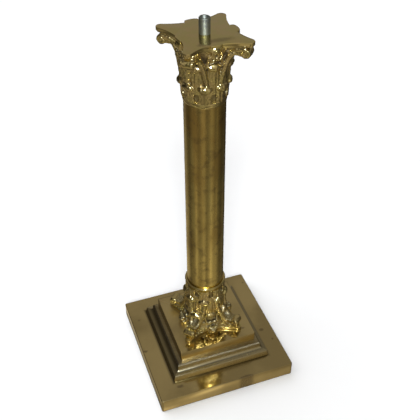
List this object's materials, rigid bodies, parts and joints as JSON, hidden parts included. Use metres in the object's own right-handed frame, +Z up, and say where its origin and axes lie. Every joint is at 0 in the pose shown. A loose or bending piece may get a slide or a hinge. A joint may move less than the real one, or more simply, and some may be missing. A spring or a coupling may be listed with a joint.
{
  "type": "lamp base",
  "caption": "Brass column lamp base: a plain round shaft between two carved Corinthian castings on a stepped square foot, with a hollow threaded lamp tube on top",
  "frame": {"origin": "middle of the square slab's underside, on the column's axis", "axes": "+Z up along the column; X and Y square to the slab's sides; -Y is the side nearest the camera, on the picture's right"},
  "size_m": [0.152, 0.152, 0.4037],
  "materials": {
    "polished_brass": "polished, lightly tarnished",
    "cast_brass": "cast, polished on its high points",
    "tube_brass": "drawn tube, polished lengthwise",
    "zinc_steel": "zinc plated, threaded"
  },
  "bodies": {
    "root": {"base_slab": "polished_brass", "stepped_plinth": "polished_brass", "lower_casting": "cast_brass", "shaft": "tube_brass", "upper_capital": "cast_brass", "lamp_tube": "zinc_steel"}
  },
  "joints": []
}
